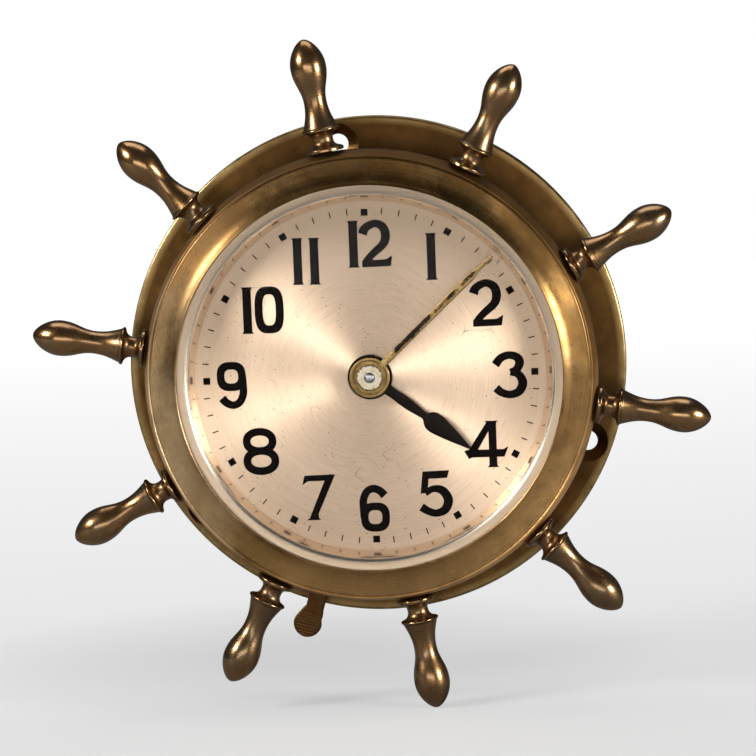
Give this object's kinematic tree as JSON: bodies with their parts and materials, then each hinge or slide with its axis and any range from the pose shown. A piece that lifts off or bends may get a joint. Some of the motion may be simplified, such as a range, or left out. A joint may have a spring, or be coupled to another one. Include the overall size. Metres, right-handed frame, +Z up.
{
  "type": "ship's-wheel wall clock",
  "caption": "Wall clock in a brass ship's wheel: the spoked rim turns to wind the spring, a side lever frees the hands, and a drilled flange screws to a bulkhead.",
  "frame": {"origin": "centre of the flange's flat back, where the clock's axis meets the wall", "axes": "+Y out of the back into the wall, the dial faces -Y, +Z up towards 12 o'clock"},
  "size_m": [0.202, 0.0439, 0.2018],
  "materials": {
    "aged_brass": "aged, dull brown-gold",
    "wheel_brass": "turned, worn glossy",
    "movement_brass": "plain turned",
    "hand_brass": "worn black paint on brass",
    "silvered_brass": "silvered, brushed in rings",
    "steel": "plain",
    "black_paint": "black, slightly worn",
    "crystal_glass": "clear flat glass"
  },
  "bodies": {
    "case": {"mounting_flange": "aged_brass", "case_drum": "aged_brass", "dial_plate": "silvered_brass", "dial_surround": "silvered_brass", "back_plate": "movement_brass", "front_plate": "movement_brass", "pillar_1": "movement_brass", "pillar_2": "movement_brass", "pillar_3": "movement_brass", "pillar_4": "movement_brass", "dial_foot_1": "movement_brass", "dial_foot_2": "movement_brass", "dial_foot_3": "movement_brass", "lever_pin": "steel", "hairspring": "steel", "hairspring_pin": "movement_brass"},
    "wheel": {"wheel_rim": "wheel_brass", "spoke_1": "wheel_brass", "spoke_2": "wheel_brass", "spoke_3": "wheel_brass", "spoke_4": "wheel_brass", "spoke_5": "wheel_brass", "spoke_6": "wheel_brass", "spoke_7": "wheel_brass", "spoke_8": "wheel_brass", "spoke_9": "wheel_brass", "spoke_10": "wheel_brass", "winding_ring": "aged_brass", "crystal": "crystal_glass", "crystal_ring": "movement_brass"},
    "winding_pinion": {"winding_pinion": "steel"},
    "barrel_arbor": {"ratchet_wheel": "steel"},
    "click": {"click": "steel"},
    "barrel": {"mainspring_barrel": "movement_brass", "mainspring": "steel", "barrel_cover": "movement_brass"},
    "intermediate_wheel": {"intermediate_wheel": "movement_brass"},
    "centre_wheel": {"centre_wheel": "steel"},
    "third_wheel": {"third_wheel": "movement_brass"},
    "fourth_wheel": {"fourth_wheel": "movement_brass"},
    "escape_wheel": {"escape_wheel": "steel"},
    "pallet_lever": {"pallet_lever": "steel"},
    "balance": {"balance_wheel": "movement_brass"},
    "minute_hand": {"minute_hand": "hand_brass", "hand_collet": "silvered_brass", "cannon_pinion": "steel"},
    "minute_wheel": {"minute_wheel": "movement_brass"},
    "hour_hand": {"hour_hand": "black_paint", "hour_wheel": "movement_brass"},
    "setting_lever": {"setting_lever": "aged_brass"}
  },
  "joints": [
    {"name": "wheel_turn", "type": "hinge", "parent": "case", "child": "wheel", "pos_m": [0, 0, 0], "axis": [0, -1, 0], "continuous": true},
    {"name": "winding_pinion_spin", "type": "hinge", "parent": "case", "child": "winding_pinion", "pos_m": [0.01855, 0, -0.05098], "axis": [0, -1, 0], "continuous": true},
    {"name": "barrel_arbor_spin", "type": "hinge", "parent": "case", "child": "barrel_arbor", "pos_m": [0.01137, 0, -0.03124], "axis": [0, -1, 0], "continuous": true},
    {"name": "click_lift", "type": "hinge", "parent": "case", "child": "click", "pos_m": [-0.00639, 0, -0.03953], "axis": [0, -1, 0], "range_deg": [0, 15]},
    {"name": "minute_hand_turn", "type": "hinge", "parent": "case", "child": "minute_hand", "pos_m": [0, 0, 0], "axis": [0, -1, 0], "continuous": true},
    {"name": "minute_wheel_spin", "type": "hinge", "parent": "case", "child": "minute_wheel", "pos_m": [-0.00984, 0, -0.00689], "axis": [0, -1, 0], "continuous": true},
    {"name": "hour_hand_turn", "type": "hinge", "parent": "case", "child": "hour_hand", "pos_m": [0, 0, 0], "axis": [0, -1, 0], "continuous": true},
    {"name": "fourth_wheel_spin", "type": "hinge", "parent": "case", "child": "fourth_wheel", "pos_m": [-0.00744, 0, 0.02491], "axis": [0, -1, 0], "continuous": true},
    {"name": "third_wheel_spin", "type": "hinge", "parent": "case", "child": "third_wheel", "pos_m": [-0.01637, 0, 0.00945], "axis": [0, -1, 0], "continuous": true},
    {"name": "centre_wheel_spin", "type": "hinge", "parent": "case", "child": "centre_wheel", "pos_m": [0, 0, 0], "axis": [0, -1, 0], "continuous": true},
    {"name": "intermediate_wheel_spin", "type": "hinge", "parent": "case", "child": "intermediate_wheel", "pos_m": [0.0183, 0, -0.01031], "axis": [0, -1, 0], "continuous": true},
    {"name": "barrel_spin", "type": "hinge", "parent": "case", "child": "barrel", "pos_m": [0.01137, 0, -0.03124], "axis": [0, -1, 0], "continuous": true},
    {"name": "escape_wheel_spin", "type": "hinge", "parent": "case", "child": "escape_wheel", "pos_m": [0.00798, 0, 0.02763], "axis": [0, -1, 0], "continuous": true},
    {"name": "pallet_rock", "type": "hinge", "parent": "case", "child": "pallet_lever", "pos_m": [0.0188, 0, 0.02369], "axis": [0, -1, 0], "range_deg": [-4, 4]},
    {"name": "balance_swing", "type": "hinge", "parent": "case", "child": "balance", "pos_m": [0.03192, 0, 0.01757], "axis": [0, -1, 0], "range_deg": [-135, 135]},
    {"name": "setting_lever_swing", "type": "hinge", "parent": "case", "child": "setting_lever", "pos_m": [-0.0152, 0, -0.04973], "axis": [0, -1, 0], "range_deg": [0, 20]}
  ],
  "couplings": [
    {"joint": "winding_pinion_spin", "follows": "wheel_turn", "ratio": 8.75},
    {"joint": "barrel_arbor_spin", "follows": "wheel_turn", "ratio": -4.375},
    {"joint": "minute_wheel_spin", "follows": "minute_hand_turn", "ratio": -0.33333},
    {"joint": "hour_hand_turn", "follows": "minute_hand_turn", "ratio": 0.083333},
    {"joint": "third_wheel_spin", "follows": "fourth_wheel_spin", "ratio": -0.13333},
    {"joint": "centre_wheel_spin", "follows": "fourth_wheel_spin", "ratio": 0.016667},
    {"joint": "intermediate_wheel_spin", "follows": "fourth_wheel_spin", "ratio": -0.0027778},
    {"joint": "barrel_spin", "follows": "fourth_wheel_spin", "ratio": 0.00046296},
    {"joint": "escape_wheel_spin", "follows": "fourth_wheel_spin", "ratio": -8}
  ]
}
